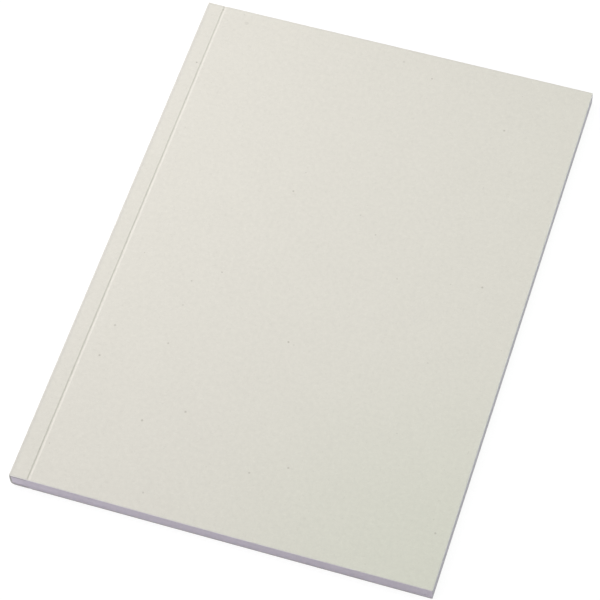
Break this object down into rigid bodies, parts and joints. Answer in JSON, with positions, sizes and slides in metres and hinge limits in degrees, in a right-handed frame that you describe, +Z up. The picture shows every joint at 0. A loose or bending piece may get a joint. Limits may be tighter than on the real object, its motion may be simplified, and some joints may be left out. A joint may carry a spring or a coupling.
{
  "type": "softcover notebook",
  "caption": "Blank A5 notebook with a page block glued into a scored wraparound cover of grey recycled card; front and back covers turn on their hinge lines.",
  "frame": {"origin": "middle of the underside, under the middle of the closed notebook's outline", "axes": "+X from the spine to the fore edge, +Y from the tail edge to the head edge, +Z up out of the front cover"},
  "size_m": [0.148, 0.21, 0.0062],
  "materials": {
    "page_paper": "smooth uncoated writing paper",
    "binding_glue": "milky hot-melt glue",
    "cover_card": "matt uncoated recycled card with fine flecks"
  },
  "bodies": {
    "bound_block": {"page_block": "page_paper", "spine_glue": "binding_glue", "cover_spine": "cover_card"},
    "front_flap": {"front_cover": "cover_card"},
    "back_flap": {"back_cover": "cover_card"}
  },
  "joints": [
    {"name": "front_cover_hinge", "type": "hinge", "parent": "bound_block", "child": "front_flap", "pos_m": [-0.0672, 0, 0.0062], "axis": [0, -1, 0], "range_deg": [0, 180]},
    {"name": "back_cover_hinge", "type": "hinge", "parent": "bound_block", "child": "back_flap", "pos_m": [-0.0672, 0, 0], "axis": [0, 1, 0], "range_deg": [0, 180]}
  ]
}
